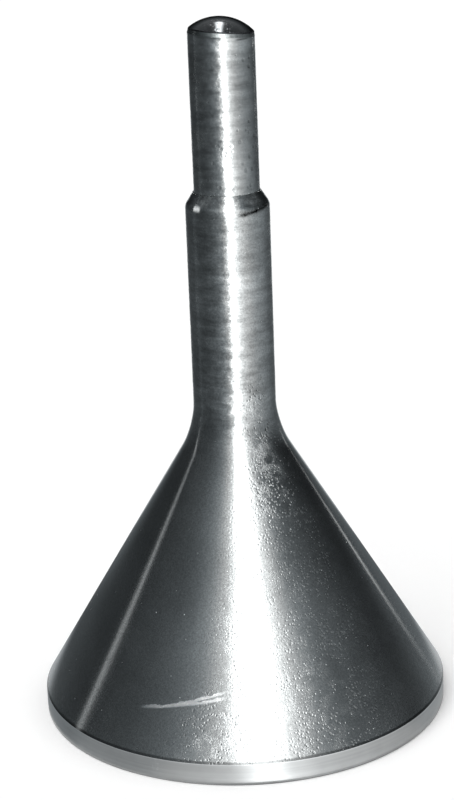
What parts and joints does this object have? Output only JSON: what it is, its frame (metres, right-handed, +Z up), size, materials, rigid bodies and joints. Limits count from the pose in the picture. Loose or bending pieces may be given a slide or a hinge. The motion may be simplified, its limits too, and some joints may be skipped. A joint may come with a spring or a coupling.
{
  "type": "bell centre punch",
  "caption": "Steel bell that sits on the end of a round bar, with a sprung, domed punch in its neck that marks the middle of the bar when it is hit.",
  "frame": {"origin": "middle of the rim's flat face, on the surface that the bell stands on", "axes": "+Z up the neck, from the mouth of the bell to the head of the punch; the tool is round, so X and Y may point anywhere across it"},
  "size_m": [0.064, 0.064, 0.108],
  "materials": {
    "bell_steel": "satin turned, fine pits on the cone",
    "rod_steel": "satin ground, with a darker domed head",
    "bush_steel": "fine turned",
    "hardened_steel": "hardened and ground",
    "spring_steel": "drawn wire, lightly oiled"
  },
  "bodies": {
    "bell": {"bell": "bell_steel", "guide_bush": "bush_steel", "return_spring": "spring_steel"},
    "spring_carrier": {"thrust_washer": "spring_steel"},
    "punch": {"striker_rod": "rod_steel", "stop_ring": "hardened_steel", "punch_stem": "hardened_steel"}
  },
  "joints": [
    {"name": "strike", "type": "slide", "parent": "bell", "child": "spring_carrier", "axis": [0, 0, -1], "range_m": [0, 0.022], "stiffness_N_per_m": 640, "springref_m": -0.007, "deforming": ["return_spring"]},
    {"name": "spin", "type": "hinge", "parent": "spring_carrier", "child": "punch", "pos_m": [0, 0, 0.0718], "axis": [0, 0, 1], "continuous": true}
  ]
}
